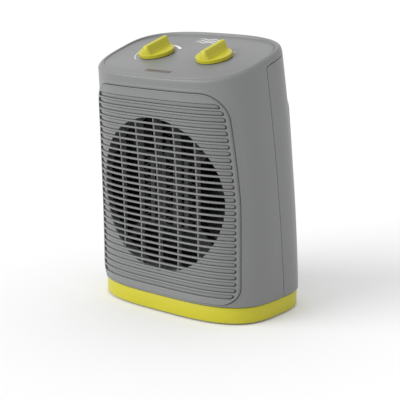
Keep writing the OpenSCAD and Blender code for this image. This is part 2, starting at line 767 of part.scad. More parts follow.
module bracket_screws() {
    color([0.75, 0.75, 0.76]) for (s = [-1, 1])
        on_panel(s * screw_x, knob_y, -bracket_drop - 3.5) {
            cylinder(r = 3, h = 2, $fn = 32);
            cylinder(r = 1.2, h = 8, $fn = 24);
        }
}

front_shell();
front_grille();
rear_shell();
rear_grille();
base_plinth();
base_plate();
foot_pads();
indicator_lens();
indicator_lamp();
control_bracket();
thermostat_body();
thermostat_spindle();
thermostat_knob();
selector_body();
selector_spindle();
selector_knob();
fan_duct();
motor_bracket();
motor_can();
motor_stator();
motor_bushings();
motor_rotor();
motor_shaft();
impeller();
impeller_nut();
heater_frame();
ceramic_bars();
heater_fins();
heater_terminals();
thermal_cutout();
thermal_fuse();
tip_switch();
tip_plunger();
tip_spring();
terminal_block();
cord_gland();
inner_leads();
rear_screws();
base_screws();
motor_screws();
bracket_screws();
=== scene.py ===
import json
import math

import bpy
from mathutils import Matrix, Vector


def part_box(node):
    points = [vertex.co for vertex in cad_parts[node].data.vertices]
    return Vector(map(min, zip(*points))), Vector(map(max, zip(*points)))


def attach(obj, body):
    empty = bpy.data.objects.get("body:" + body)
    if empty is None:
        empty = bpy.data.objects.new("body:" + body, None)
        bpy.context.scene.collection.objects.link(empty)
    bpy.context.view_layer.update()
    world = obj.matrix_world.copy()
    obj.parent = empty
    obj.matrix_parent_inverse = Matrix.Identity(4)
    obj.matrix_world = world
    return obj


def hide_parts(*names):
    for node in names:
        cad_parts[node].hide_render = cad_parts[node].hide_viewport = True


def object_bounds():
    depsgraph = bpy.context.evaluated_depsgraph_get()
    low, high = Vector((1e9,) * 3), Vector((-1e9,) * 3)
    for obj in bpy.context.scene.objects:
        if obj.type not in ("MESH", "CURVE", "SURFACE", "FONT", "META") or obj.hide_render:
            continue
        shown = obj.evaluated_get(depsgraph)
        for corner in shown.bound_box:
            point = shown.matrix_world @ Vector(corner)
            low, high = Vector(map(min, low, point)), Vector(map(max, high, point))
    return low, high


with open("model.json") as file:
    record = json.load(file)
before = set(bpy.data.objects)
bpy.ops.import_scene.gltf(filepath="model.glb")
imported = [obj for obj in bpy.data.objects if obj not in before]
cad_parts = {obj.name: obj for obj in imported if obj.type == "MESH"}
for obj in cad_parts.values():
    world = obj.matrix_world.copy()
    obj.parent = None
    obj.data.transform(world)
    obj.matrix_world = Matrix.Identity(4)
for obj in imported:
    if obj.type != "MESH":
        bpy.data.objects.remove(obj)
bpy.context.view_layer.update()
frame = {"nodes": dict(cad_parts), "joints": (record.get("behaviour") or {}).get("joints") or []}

# ---- Camera ----
# A long lens a little over a metre away, to the right of the heater's front and just above it,
# aimed at the middle of the body.
CAMERA_DISTANCE = 1.1366
CAMERA_TURN, CAMERA_RISE = 38.96, 13.13
body_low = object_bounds()[0]
look_at = Vector((0, body_low.y + 0.079, 0.1015))
turn, rise = math.radians(CAMERA_TURN), math.radians(CAMERA_RISE)
backwards = Vector((math.sin(turn) * math.cos(rise), -math.cos(turn) * math.cos(rise),
                    math.sin(rise)))
bpy.ops.object.camera_add(location=look_at + CAMERA_DISTANCE * backwards,
                          rotation=(-backwards).to_track_quat("-Z", "Y").to_euler())
camera = bpy.context.object
camera.name = "studio_camera"
camera.data.sensor_width = 36
camera.data.lens = 101.33
camera.data.shift_x = -0.0024
bpy.context.scene.camera = camera

# ---- Floor and light ----
# A white studio floor that reaches the horizon, one wide key light from the front left, and a
# white dome over it all.
FLOOR_SIZE = 60
bpy.ops.mesh.primitive_plane_add(size=FLOOR_SIZE, location=(0, 0, body_low.z))
studio_floor = bpy.context.object
studio_floor.name = "studio_floor"
sweep_white = bpy.data.materials.new("sweep_white")
sweep_white.use_nodes = True
sweep_shader = sweep_white.node_tree.nodes["Principled BSDF"]
sweep_shader.inputs["Base Color"].default_value = (0.74, 0.74, 0.74, 1)
sweep_shader.inputs["Roughness"].default_value = 0.9
sweep_shader.inputs["Emission Color"].default_value = (1, 1, 1, 1)
sweep_shader.inputs["Emission Strength"].default_value = 0.04
studio_floor.data.materials.append(sweep_white)

key_from = Vector((-0.5, -0.85, 0.5))
bpy.ops.object.light_add(type="SUN", rotation=key_from.to_track_quat("Z", "Y").to_euler())
bpy.context.object.name = "key_light"
bpy.context.object.data.energy = 2.3
bpy.context.object.data.angle = math.radians(50)

bpy.context.scene.world = bpy.data.worlds.new("pale_dome")
bpy.context.scene.world.use_nodes = True
dome = bpy.context.scene.world.node_tree.nodes["Background"]
dome.inputs["Color"].default_value = (1, 1, 1, 1)
dome.inputs["Strength"].default_value = 1.0
bpy.context.scene.view_settings.view_transform = "Standard"

# ---- Front shell ----
# Front, sides and top are one injection moulding in grey ABS with a fine spark texture. Its rim
# rolls over into the sunken control panel, and a window in its front takes the grille.
dial_joint = next(j for j in frame["joints"] if j["name"] == "thermostat_turn")
dial_x, dial_y, dial_z = [1000 * v for v in dial_joint["pos_m"]]
plinth_low, plinth_high = [1000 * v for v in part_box("base_plinth")]
widest_y = (plinth_low.y + plinth_high.y) / 2 + 1.5
shell_z = 1000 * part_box("front_shell")[0].z
TOP_SLOPE = math.tan(math.radians(16.5))
PANEL_DIP = 1.6 / 115.8
WALL = 2.4
RIM = 4.2         # the rim's rolled radius at the sides and the back
FRONT_RIM = 1.7   # and at the front
BAND = 7.0        # height of the plain band under the rim
TURNS = 96        # columns from the middle of the front to the middle of the back
FRONT_TURNS = 50  # columns of them that lie in front of the side seam


def curl(value, power):
    return math.copysign(abs(value) ** power, value)


def slope_z(y):
    panel = dial_z + TOP_SLOPE * (y - dial_y)
    return panel + 0.1 + PANEL_DIP * (dial_y - widest_y + 79.3)


def panel_z(y):
    return slope_z(y) - 0.1 - PANEL_DIP * (y - widest_y + 79.3)


def plinth_line(angle, swell, out):
    front = math.sin(angle) < 0
    squareness, depth = (3.25, 66.5 - 5.7 * swell) if front else (3.3, 63.5 + 2.8 * swell)
    return ((100 + 2.8 * swell + out) * curl(math.cos(angle), 2 / squareness),
            widest_y + (depth + out) * curl(math.sin(angle), 2 / squareness))


def top_line(angle, swell, out):
    front = math.sin(angle) < 0
    squareness, depth = (3.35, 67.1 - 5.7 * swell) if front else (2.85, 48.7 + 2.8 * swell)
    return ((92 + 2.8 * swell + out) * curl(math.cos(angle), 2 / squareness),
            widest_y - 12.2 + (depth + out) * curl(math.sin(angle), 2 / squareness))


def skin(angle, share, out=0.0):
    swell = 4 * share * (1 - share)
    low, top = plinth_line(angle, swell, out), top_line(angle, swell, out)
    edge = slope_z(top_line(angle, 0, 0)[1])
    return (low[0] + (top[0] - low[0]) * share, low[1] + (top[1] - low[1]) * share,
            shell_z + (edge - shell_z) * share)


def share_at(angle, z):
    return (z - shell_z) / (slope_z(top_line(angle, 0, 0)[1]) - shell_z)


def angle_at(way):
    """Way 0 is the middle of the front, 1 the side, 2 the middle of the back."""
    part = way if way < 1 else way - 1
    eased = part ** 1.6 / (part ** 1.6 + (1 - part) ** 1.6)
    return math.radians(-90 + 90 * (eased if way < 1 else 1 + eased))


def halved(low, high, too_far):
    for _ in range(26):
        middle = (low + high) / 2
        low, high = (low, middle) if too_far(middle) else (middle, high)
    return (low + high) / 2


def band_share(angle, gap):
    """The share of the height at which the band round the top begins."""
    def above(share):
        x, y, z = skin(angle, share)
        return z > slope_z(y) - BAND - gap
    return halved(0.7, 1.0, above)


SEAM_LOW, SEAM_HIGH = widest_y + 5, widest_y - 19.5   # the side seam's ends, along y
KNEE = slope_z(SEAM_HIGH + 4) - BAND                  # height at which it meets the band


def seam_way(climb, gap):
    """The way round at which the side seam lies, at a share of the height up to the band."""
    z = shell_z + (KNEE - shell_z) * climb
    y = SEAM_LOW + (SEAM_HIGH - SEAM_LOW) * climb + gap
    if z > KNEE - 4:
        y += 4 - math.sqrt(max(16 - (z - KNEE + 4) ** 2, 0))

    def behind(way):
        angle = angle_at(way)
        return skin(angle, share_at(angle, z))[1] > y
    return halved(0.3, 1.7, behind)


# The rows' shares of the height up to the band, closer together near the knee.
climbs = [k / 44 * 0.968 for k in range(44)] + [0.968 + 0.032 * k / 12 for k in range(13)]


def column_angle(i, seam):
    turn = abs(i - TURNS)
    if turn <= FRONT_TURNS:
        way = seam * turn / FRONT_TURNS
    else:
        way = seam + (2 - seam) * (turn - FRONT_TURNS) / (TURNS - FRONT_TURNS)
    angle = angle_at(way)
    return angle if i >= TURNS else math.pi - angle


def formed_sheet(name, columns, rows, place, leave_out=None, wrap=False, cap=False):
    """Adds a flat grid, leaves out some of its squares and lays its points where place says."""
    if bpy.context.object and bpy.context.object.mode != "OBJECT":
        bpy.ops.object.mode_set(mode="OBJECT")
    bpy.ops.object.select_all(action="DESELECT")
    bpy.ops.mesh.primitive_grid_add(x_subdivisions=columns, y_subdivisions=rows, size=1)
    sheet = bpy.context.object
    sheet.name = name
    sheet.data.name = name
    at = [(round((p.co.x + 0.5) * columns), round((p.co.y + 0.5) * rows))
          for p in sheet.data.vertices]
    for point, (i, j) in zip(sheet.data.vertices, at):
        point.co = Vector(place(i, j)) / 1000
    bpy.ops.object.mode_set(mode="EDIT")
    bpy.ops.mesh.select_all(action="DESELECT")
    bpy.ops.mesh.select_mode(type="FACE")
    if leave_out:
        bpy.ops.object.mode_set(mode="OBJECT")
        for face in sheet.data.polygons:
            face.select = leave_out(min(at[v][0] for v in face.vertices),
                                    min(at[v][1] for v in face.vertices))
        bpy.ops.object.mode_set(mode="EDIT")
        bpy.ops.mesh.delete(type="FACE")
    bpy.ops.mesh.select_mode(type="VERT")
    bpy.ops.mesh.select_all(action="SELECT")
    if wrap:
        bpy.ops.mesh.remove_doubles(threshold=0.000002)
    if cap:
        bpy.ops.mesh.fill_holes(sides=0)
    if wrap:
        bpy.ops.mesh.select_all(action="SELECT")
        bpy.ops.mesh.normals_make_consistent(inside=False)
    bpy.ops.object.mode_set(mode="OBJECT")
    return sheet


def finish_with(piece, kind, **settings):
    """Puts a modifier on a piece and applies it at once."""
    bpy.ops.object.select_all(action="DESELECT")
    bpy.context.view_layer.objects.active = piece
    piece.select_set(True)
    modifier = piece.modifiers.new(kind.lower(), kind)
    for setting, value in settings.items():
        setattr(modifier, setting, value)
    bpy.ops.object.modifier_apply(modifier=modifier.name)


def cut_with(piece, cutter):
    finish_with(piece, "BOOLEAN", operation="DIFFERENCE", solver="EXACT", object=cutter)
    bpy.data.objects.remove(cutter)


def smooth(piece, degrees=35):
    bpy.ops.object.select_all(action="DESELECT")
    bpy.context.view_layer.objects.active = piece
    piece.select_set(True)
    bpy.ops.object.shade_smooth_by_angle(angle=math.radians(degrees))


def join_all(pieces, name):
    bpy.ops.object.select_all(action="DESELECT")
    for piece in pieces:
        piece.select_set(True)
    bpy.context.view_layer.objects.active = pieces[0]
    bpy.ops.object.join()
    pieces[0].name = name
    pieces[0].data.name = name
    return pieces[0]


def pane_line(half_w, low, high, low_r, high_r, steps=12):
    """A rounded rectangle as x, z and its outward direction, counterclockwise from the front."""
    line = []
    corners = [(half_w - low_r, low + low_r, low_r, -90),
               (half_w - high_r, high - high_r, high_r, 0),
               (-half_w + high_r, high - high_r, high_r, 90),
               (-half_w + low_r, low + low_r, low_r, 180)]
    for number, (x, z, radius, start) in enumerate(corners):
        for k in range(steps + 1):
            a = math.radians(start + 90 * k / steps)
            line.append((x + radius * math.cos(a), z + radius * math.sin(a),
                         math.cos(a), math.sin(a)))
        here, (after_x, after_z, after_r, after_start) = line[-1], corners[(number + 1) % 4]
        a = math.radians(after_start)
        there = (after_x + after_r * math.cos(a), after_z + after_r * math.sin(a))
        count = int(math.hypot(there[0] - here[0], there[1] - here[1]) / 3.5)
        line += [(here[0] + (there[0] - here[0]) * k / count,
                  here[1] + (there[1] - here[1]) * k / count, here[2], here[3])
                 for k in range(1, count)]
    return line


def narrowed(line):
    """Draws the upper part of a pane in, as the body narrows upwards."""
    return [(x * waist(z), z, across, up) for x, z, across, up in line]


def waist(z):
    return 1 - 0.07 * max((z - 115) / 86, 0) ** 1.3


def on_face(x, z, out, rear=False):
    """The point on the front or back of the body at x and z, out by so much."""
    def too_wide(turned):
        angle = math.pi / 2 - turned if rear else turned - math.pi / 2
        return skin(angle, share_at(angle, z), out)[0] > abs(x)
    turned = halved(0, math.pi / 2, too_wide)
    angle = math.pi / 2 - turned if rear else turned - math.pi / 2
    return (x, skin(angle, share_at(angle, z), out)[1], z)


def pane_prism(name, line, y0, y1):
    """A solid with a pane's outline that reaches from y0 to y1, for cutting."""
    bpy.ops.object.select_all(action="DESELECT")
    bpy.ops.mesh.primitive_circle_add(vertices=len(line), fill_type="NGON", radius=1)
    prism = bpy.context.object
    prism.name = name
    for point, (x, z, _, _) in zip(prism.data.vertices, line):
        point.co = Vector((x, y0, z)) / 1000
    bpy.ops.object.mode_set(mode="EDIT")
    bpy.ops.mesh.select_all(action="SELECT")
    bpy.ops.mesh.extrude_region_move(
        TRANSFORM_OT_translate={"value": (0, (y1 - y0) / 1000, 0)})
    bpy.ops.mesh.select_all(action="SELECT")
    bpy.ops.mesh.normals_make_consistent(inside=False)
    bpy.ops.object.mode_set(mode="OBJECT")
    return prism


def moulded(name, colour, roughness=0.5, grain=0.5, drift=0.04):
    """Moulded plastic: a fine spark texture, with a faint drift in tone and gloss."""
    material = bpy.data.materials.new(name)
    material.use_nodes = True
    nodes, links = material.node_tree.nodes, material.node_tree.links
    shader = nodes["Principled BSDF"]
    shader.inputs["Specular IOR Level"].default_value = 0.4
    place = nodes.new("ShaderNodeTexCoord")
    cloud = nodes.new("ShaderNodeTexNoise")
    cloud.inputs["Scale"].default_value = 14
    cloud.inputs["Detail"].default_value = 4
    spark = nodes.new("ShaderNodeTexNoise")
    spark.inputs["Scale"].default_value = 1500
    spark.inputs["Detail"].default_value = 2
    links.new(place.outputs["Object"], cloud.inputs["Vector"])
    links.new(place.outputs["Object"], spark.inputs["Vector"])
    tone = nodes.new("ShaderNodeMix")
    tone.data_type = "RGBA"
    tone.inputs["A"].default_value = [c * (1 - drift) for c in colour] + [1]
    tone.inputs["B"].default_value = [c * (1 + drift) for c in colour] + [1]
    blend = nodes.new("ShaderNodeMath")
    blend.operation = "MULTIPLY_ADD"
    blend.inputs[1].default_value = 0.35
    links.new(spark.outputs["Fac"], blend.inputs[0])
    links.new(cloud.outputs["Fac"], blend.inputs[2])
    links.new(blend.outputs[0], tone.inputs["Factor"])
    links.new(tone.outputs["Result"], shader.inputs["Base Color"])
    gloss = nodes.new("ShaderNodeMapRange")
    gloss.inputs["To Min"].default_value = roughness - 0.05
    gloss.inputs["To Max"].default_value = roughness + 0.07
    links.new(cloud.outputs["Fac"], gloss.inputs["Value"])
    links.new(gloss.outputs["Result"], shader.inputs["Roughness"])
    relief = nodes.new("ShaderNodeBump")
    relief.inputs["Strength"].default_value = grain
    relief.inputs["Distance"].default_value = 0.00006
    links.new(spark.outputs["Fac"], relief.inputs["Height"])
    links.new(relief.outputs["Normal"], shader.inputs["Normal"])
    return material


grey_abs = moulded("grey_abs", (0.160, 0.164, 0.162), roughness=0.36)
BAND_ROWS, RIM_ROWS = 5, 8
rim_groove = [(-5.0, 0.02), (-5.3, 0.4), (-5.5, 1.5), (-6.4, 1.5), (-6.8, 1.0)]
SIDE_ROWS = len(climbs) - 1
front_seams = [seam_way(c, 0) for c in climbs]


def front_shell_point(i, j):
    seam = front_seams[min(j, SIDE_ROWS)]
    angle = column_angle(i, seam)
    start = band_share(angle, 0)
    if j <= SIDE_ROWS:
        return skin(angle, start * climbs[j])
    j -= SIDE_ROWS
    if j <= BAND_ROWS:
        return skin(angle, start + (0.978 - start) * j / BAND_ROWS)
    j -= BAND_ROWS
    front = min(max((-math.sin(angle) - 0.82) / 0.16, 0), 1)
    rim = RIM + (FRONT_RIM - RIM) * front * front * (3 - 2 * front)
    if j <= RIM_ROWS:
        roll = math.pi / 2 * j / RIM_ROWS
        out, drop = -rim * (1 - math.cos(roll)), rim * (1 - math.sin(roll))
        x, y = top_line(angle, 0, out)
        return (x, y, slope_z(y) - drop)
    inset, sink = rim_groove[j - RIM_ROWS - 1]
    x, y = top_line(angle, 0, inset)
    return (x, y, slope_z(y) - (slope_z(y) - panel_z(y)) * sink)


front_shell = formed_sheet(
    "front_shell_moulding", 2 * TURNS, SIDE_ROWS + BAND_ROWS + RIM_ROWS + 5, front_shell_point,
    lambda i, j: j < SIDE_ROWS and not TURNS - FRONT_TURNS <= i < TURNS + FRONT_TURNS)
bpy.ops.object.mode_set(mode="EDIT")
bpy.ops.mesh.select_all(action="SELECT")
bpy.ops.mesh.remove_doubles(threshold=0.000002)
bpy.ops.mesh.select_all(action="DESELECT")
bpy.ops.object.mode_set(mode="OBJECT")
for point in front_shell.data.vertices:
    point.select = abs(1000 * point.co.z - panel_z(1000 * point.co.y)) < 0.02
bpy.ops.object.mode_set(mode="EDIT")
bpy.ops.mesh.edge_face_add()
bpy.ops.object.mode_set(mode="OBJECT")
finish_with(front_shell, "SOLIDIFY", thickness=WALL / 1000, offset=-1, use_even_offset=True)
finish_with(front_shell, "BEVEL", width=0.00035, segments=2, limit_method="ANGLE",
            angle_limit=math.radians(60))
window_line = narrowed(pane_line(87.7, 20.2, 221.9, 16.5, 23.5))
cut_with(front_shell, pane_prism("window_cutter", window_line, -120, -20))
smooth(front_shell)
front_shell.data.materials.clear()
front_shell.data.materials.append(grey_abs)
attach(front_shell, "housing")


def rolled_frame(name, line, profile, rear=False, lowest=None):
    """A closed bead that runs along a pane's outline, with its section as (outwards, out)."""
    def place(i, j):
        x, z, across, up = line[i % len(line)]
        offset, out = profile[j % len(profile)]
        z += up * offset
        if lowest is not None:
            z = max(z, lowest)
        return on_face(x + across * offset, z, out, rear)
    return formed_sheet(name, len(line), len(profile), place, wrap=True)


PANE_HALF, PANE_LOW, PANE_HIGH = 87.2, 20.6, 221.5
LOW_CORNER, HIGH_CORNER = 16, 23
pane_edge = narrowed(pane_line(PANE_HALF, PANE_LOW, PANE_HIGH, LOW_CORNER, HIGH_CORNER))
window_lip = rolled_frame(
    "front_window_lip", pane_edge,
    [(0.45, -2.2), (0.45, -0.25), (0.56, 0.08), (0.85, 0.26), (1.4, 0.34), (2.2, 0.3), (3.1, 0.14),
     (4.2, -0.12), (3.8, -0.8), (2.0, -1.6)], lowest=shell_z + 0.15)
smooth(window_lip)
window_lip.data.materials.clear()
window_lip.data.materials.append(grey_abs)
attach(window_lip, "housing")
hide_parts("front_shell")

# ---- Front grille ----
# A separate grey moulding that stands a little proud of the window. Louvre bars cross its whole
# width over a sloped floor, and five ribs behind them stiffen the round air outlet.
duct_low = 1000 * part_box("fan_duct")[0]
fan_z = 1000 * (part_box("impeller")[0].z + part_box("impeller")[1].z) / 2
OUTLET_R = 75.6
PITCH = 6.27
FACE = 1.45   # how far the bars stand out of the shell
GROOVES = 30
BAR = 1.75    # height of a bar
bar_z = [213.9 - PITCH * k for k in range(GROOVES + 1)]


def pane_half(z):
    if z < 100:
        radius, edge = LOW_CORNER, PANE_LOW + LOW_CORNER - z
    else:
        radius, edge = HIGH_CORNER, z - PANE_HIGH + HIGH_CORNER
    edge = max(edge, 0.0)
    return (PANE_HALF - radius + math.sqrt(max(radius ** 2 - edge ** 2, 0))) * waist(z)


def groove_end(z):
    return pane_half(z) - 1.9


floor_rows = [(21.9, 0.0, 0.0), (24.0, 0.0, 0.0), (bar_z[GROOVES] + 0.2, 0.0, 0.0)]
for k in range(GROOVES, 0, -1):
    low, high = bar_z[k] + BAR / 2, bar_z[k - 1] - BAR / 2
    round_r = (high - low) / 2
    for up, depth in ((-0.2, 2.5), (0.4, 2.3), (0.85, 1.5), (2.2, 1.3), (3.3, 1.2), (3.92, 1.15),
                      (4.17, 1.6), (4.67, 1.6), (5.12, 1.6 if k > 1 else 0.0)):
        drop = max(round_r ** 2 - (up - round_r) ** 2, 0)
        floor_rows.append((low + up, depth, (round_r - math.sqrt(drop)) if depth else 0.0))
floor_rows += [(216.5, 0.0, 0.0), (220.9, 0.0, 0.0)]
HALF_COLUMNS = 42
POCKET_WIDTH, POCKET_DEPTH, POCKET_SLOPE = 2.1, 2.1, 0.9   # the deeper end of a groove
edge_steps = [0.25, 0.0, -0.12, -0.4, -0.85, -1.4, -2.1, -3.0]   # columns round a groove's end
LAST_EDGE_STEP = len(edge_steps) + 1


def grille_floor_point(i, j):
    z, depth, rounding = floor_rows[j]
    side = 1 if i > HALF_COLUMNS else -1
    step = i if i <= HALF_COLUMNS else 2 * HALF_COLUMNS + 1 - i
    end = groove_end(z) - rounding
    hole = math.sqrt(max(OUTLET_R ** 2 - (z - fan_z) ** 2, 0))
    under_bead = pane_half(z) - 1.0
    if step == 0:
        x = under_bead
    elif step == 1:
        x = (under_bead + end + 0.3) / 2
    elif step <= LAST_EDGE_STEP:
        x = end + edge_steps[step - 2]
    else:
        inner = end + edge_steps[-1]
        part = (step - LAST_EDGE_STEP) / (HALF_COLUMNS - LAST_EDGE_STEP)
        x = inner - (inner - hole) * part
    if end - x < 0.01:
        depth = 0.0
    elif 0 < depth and rounding < 1.5:
        depth += POCKET_DEPTH * min(max((POCKET_WIDTH - end + x) / POCKET_SLOPE, 0), 1)
    return on_face(side * x, z, FACE - depth)


grille_floor = formed_sheet("front_grille_panel", 2 * HALF_COLUMNS + 1, len(floor_rows) - 1,
                            grille_floor_point, lambda i, j: i == HALF_COLUMNS)
bpy.ops.object.mode_set(mode="EDIT")
bpy.ops.mesh.select_all(action="SELECT")
bpy.ops.mesh.remove_doubles(threshold=0.000002)
bpy.ops.object.mode_set(mode="OBJECT")
finish_with(grille_floor, "SOLIDIFY", thickness=0.0012, offset=-1)
smooth(grille_floor, 30)

BAR_STEPS = 84
bar_section = [(-0.5, 2.6), (-0.5, 0.5), (-0.43, 0.2), (-0.26, 0.02), (0.26, 0.02),
               (0.43, 0.2), (0.5, 0.5), (0.5, 2.6)]


def louvre_bar(k):
    reach = groove_end(bar_z[k]) + 0.5
    lift = 0.03 if k in (0, GROOVES) else 0.0

    def place(i, j):
        part = 2 * j / BAR_STEPS - 1
        up, depth = bar_section[i % len(bar_section)]
        if abs(part) == 1:
            depth = max(depth, 0.5)
        x = reach * math.copysign(1 - (1 - abs(part)) ** 1.15, part)
        return on_face(x, bar_z[k] + BAR * up, FACE + lift - depth)
    return formed_sheet("louvre", len(bar_section), BAR_STEPS, place, wrap=True, cap=True)


grille_bars = join_all([louvre_bar(k) for k in range(GROOVES + 1)], "front_grille_bars")
smooth(grille_bars, 50)


def stiffening_rib(x):
    top = math.sqrt(OUTLET_R ** 2 - x * x) + 1.0
    section = [(-0.9, None), (-0.9, 0.5), (-0.55, 0.15), (0.55, 0.15), (0.9, 0.5), (0.9, None)]

    def place(i, j):
        z = fan_z - top + 2 * top * j / 60
        across, depth = section[i % len(section)]
        if depth is None:
            return (x + across, -53.5, z)
        return on_face(x + across, z, FACE - 2.3 - depth)
    return formed_sheet("rib", len(section), 60, place, wrap=True, cap=True)


def collar_point(i, j):
    radius, back = [(OUTLET_R, False), (OUTLET_R, True), (OUTLET_R + 2.6, True),
                    (OUTLET_R + 2.6, False)][j % 4]
    a = math.tau * i / 192
    x, z = radius * math.cos(a), fan_z + radius * math.sin(a)
    return (x, duct_low.y - 0.3, z) if back else on_face(x, z, FACE - 2.9)


grille_ribs = join_all([stiffening_rib(x) for x in (-47, -23.5, 0, 23.5, 47)]
                       + [formed_sheet("collar", 192, 4, collar_point, wrap=True)],
                       "front_grille_ribs")
smooth(grille_ribs, 40)

grille_bead = rolled_frame(
    "front_grille_bead", pane_edge,
    [(0, -2.0), (0, FACE - 0.35), (-0.1, FACE + 0.02), (-0.4, FACE + 0.2), (-0.8, FACE + 0.22),
     (-1.15, FACE + 0.08), (-1.3, FACE - 0.2), (-1.3, -2.0)])
smooth(grille_bead)
for piece in (grille_floor, grille_bars, grille_ribs, grille_bead):
    piece.data.materials.clear()
    piece.data.materials.append(grey_abs)
    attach(piece, "housing")
    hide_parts("front_grille")

# ---- Rear shell ----
# The back half of the housing, in the same grey ABS. It butts against the front shell along the
# side seam and tucks under the band round the top. Two screws go in near its upper edge.
SEAM_GAP = 0.8
rear_seams = [seam_way(c, SEAM_GAP) for c in climbs]


def rear_shell_point(i, j):
    angle = column_angle(i, rear_seams[j])
    return skin(angle, band_share(angle, SEAM_GAP) * climbs[j])


rear_shell = formed_sheet(
    "rear_shell_moulding", 2 * TURNS, SIDE_ROWS, rear_shell_point,
    lambda i, j: TURNS - FRONT_TURNS <= i < TURNS + FRONT_TURNS)
bpy.ops.object.mode_set(mode="EDIT")
bpy.ops.mesh.select_all(action="SELECT")
bpy.ops.mesh.remove_doubles(threshold=0.000002)
bpy.ops.mesh.select_mode(type="VERT")
bpy.ops.object.mode_set(mode="OBJECT")
finish_with(rear_shell, "SOLIDIFY", thickness=WALL / 1000, offset=-1, use_even_offset=True)
finish_with(rear_shell, "BEVEL", width=0.00035, segments=2, limit_method="ANGLE",
            angle_limit=math.radians(60))
cut_with(rear_shell, pane_prism("intake_cutter", pane_line(72, 54, 204, 12, 12), 20, 120))
screw_low, screw_high = [1000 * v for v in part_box("rear_screws")]
upper_screw_z, lower_screw_z = screw_high.z - 3, screw_low.z + 3
SCREW_X = 62


def screw_cup(x, z):
    """A round recess in the wall, with the boss that the screw's head pulls against."""
    mouth = on_face(x, z, 0, rear=True)[1]
    bpy.ops.object.select_all(action="DESELECT")
    bpy.ops.mesh.primitive_cylinder_add(
        vertices=48, radius=0.005, depth=0.0098, rotation=(-math.pi / 2, 0, 0),
        location=(x / 1000, (mouth - 1.4 - 4.9) / 1000, z / 1000))
    cup = bpy.context.object
    bpy.ops.object.transform_apply(location=True, rotation=True, scale=True)
    for face in cup.data.polygons:
        face.select = face.normal.y > 0.9
    bpy.ops.object.mode_set(mode="EDIT")
    bpy.ops.mesh.inset(thickness=0.0016)
    bpy.ops.mesh.extrude_region_move(TRANSFORM_OT_translate={"value": (0, -0.0029, 0)})
    bpy.ops.object.mode_set(mode="OBJECT")
    return cup


def round_cutter(x, z, radius, start, sides):
    """A round bar along y, from start to well behind the heater, for drilling."""
    bpy.ops.object.select_all(action="DESELECT")
    bpy.ops.mesh.primitive_cylinder_add(
        vertices=sides, radius=radius / 1000, depth=(120 - start) / 1000,
        location=(x / 1000, (start + 120) / 2000, z / 1000), rotation=(math.pi / 2, 0, 0))
    return bpy.context.object


screw_places = [(side * SCREW_X, z) for side in (-1, 1) for z in (lower_screw_z, upper_screw_z)]
for x, z in screw_places:
    cut_with(rear_shell, round_cutter(x, z, 3.4, 20, 48))
screw_bosses = join_all([screw_cup(x, z) for x, z in screw_places], "rear_screw_bosses")
smooth(rear_shell)
smooth(screw_bosses)
for piece in (rear_shell, screw_bosses):
    piece.data.materials.clear()
    piece.data.materials.append(grey_abs)
    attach(piece, "housing")
    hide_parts("rear_shell")

# ---- Rear grille ----
# A raised cover over the back with four columns of intake slots and a sloping blade behind each
# row. It clips into the rear shell and leaves holes for the cord's gland and the lower screws.
COVER = 2.05   # how far it stands out of the shell
SLOT_WIDTH, SLOT_HEIGHT, SLOT_ROUNDING = 28, 4.2, 1.9
SLOT_ROWS, SLOT_PITCH, LOWEST_SLOT = 15, 9.4, 62.1
COLUMN_PITCH = 32


def cover_half(z):
    edge = 0.0
    if z < 38:
        edge = 38 - z
    elif z > 199:
        edge = z - 199
    return 70 + math.sqrt(max(196 - edge * edge, 0))


COVER_ROWS = 64


def cover_point(i, j):
    z = 25 + 187 * j / COVER_ROWS
    x = (cover_half(z) - 1.0) * (1 - 2 * i / 60)
    return on_face(x, z, COVER, rear=True)


rear_cover = formed_sheet("rear_grille_cover", 60, COVER_ROWS, cover_point)
finish_with(rear_cover, "SOLIDIFY", thickness=0.0018, offset=-1)
bpy.ops.object.select_all(action="DESELECT")
bpy.ops.mesh.primitive_cube_add(size=1)
slot_cutter = bpy.context.object
for point in slot_cutter.data.vertices:
    point.co = Vector((SLOT_WIDTH * point.co.x, 70 + 100 * point.co.y,
                       SLOT_HEIGHT * point.co.z)) / 1000
finish_with(slot_cutter, "BEVEL", width=SLOT_ROUNDING / 1000, segments=5, limit_method="ANGLE",
            affect="EDGES")
intake_slots = []
for column in (-1.5, -0.5, 0.5, 1.5):
    for row in range(SLOT_ROWS):
        copy = slot_cutter.copy()
        copy.data = slot_cutter.data.copy()
        bpy.context.collection.objects.link(copy)
        copy.data.transform(Matrix.Translation(
            (COLUMN_PITCH * column / 1000, 0, (LOWEST_SLOT + SLOT_PITCH * row) / 1000)))
        intake_slots.append(copy)
bpy.data.objects.remove(slot_cutter)
cut_with(rear_cover, join_all(intake_slots, "slot_cutters"))
gland_low, gland_high = [1000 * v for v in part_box("cord_gland")]
gland_x, gland_z = (gland_low.x + gland_high.x) / 2, (gland_low.z + gland_high.z) / 2
cut_with(rear_shell, round_cutter(gland_x, gland_z, 7.1, 58, 64))
for x, z, radius in ((gland_x, gland_z, 7.1), (-SCREW_X, lower_screw_z, 3.6),
                     (SCREW_X, lower_screw_z, 3.6)):
    cut_with(rear_cover, round_cutter(x, z, radius, 30, 64))
smooth(rear_cover)


def intake_louvre(row):
    """A blade behind a row of slots that slopes up inwards, so that nothing is seen through."""
    slot_floor = LOWEST_SLOT - SLOT_HEIGHT / 2 + SLOT_PITCH * row
    section = [(1.5, -1.3), (7.0, 4.3), (7.0, 5.5), (1.5, 0.0)]

    def place(i, j):
        depth, up = section[i % 4]
        x = (1.5 * COLUMN_PITCH + SLOT_WIDTH / 2) * (2 * j / 32 - 1)
        wall = on_face(x, slot_floor, COVER, rear=True)
        return (x, wall[1] - depth, slot_floor + up)
    return formed_sheet("louvre", 4, 32, place, wrap=True, cap=True)


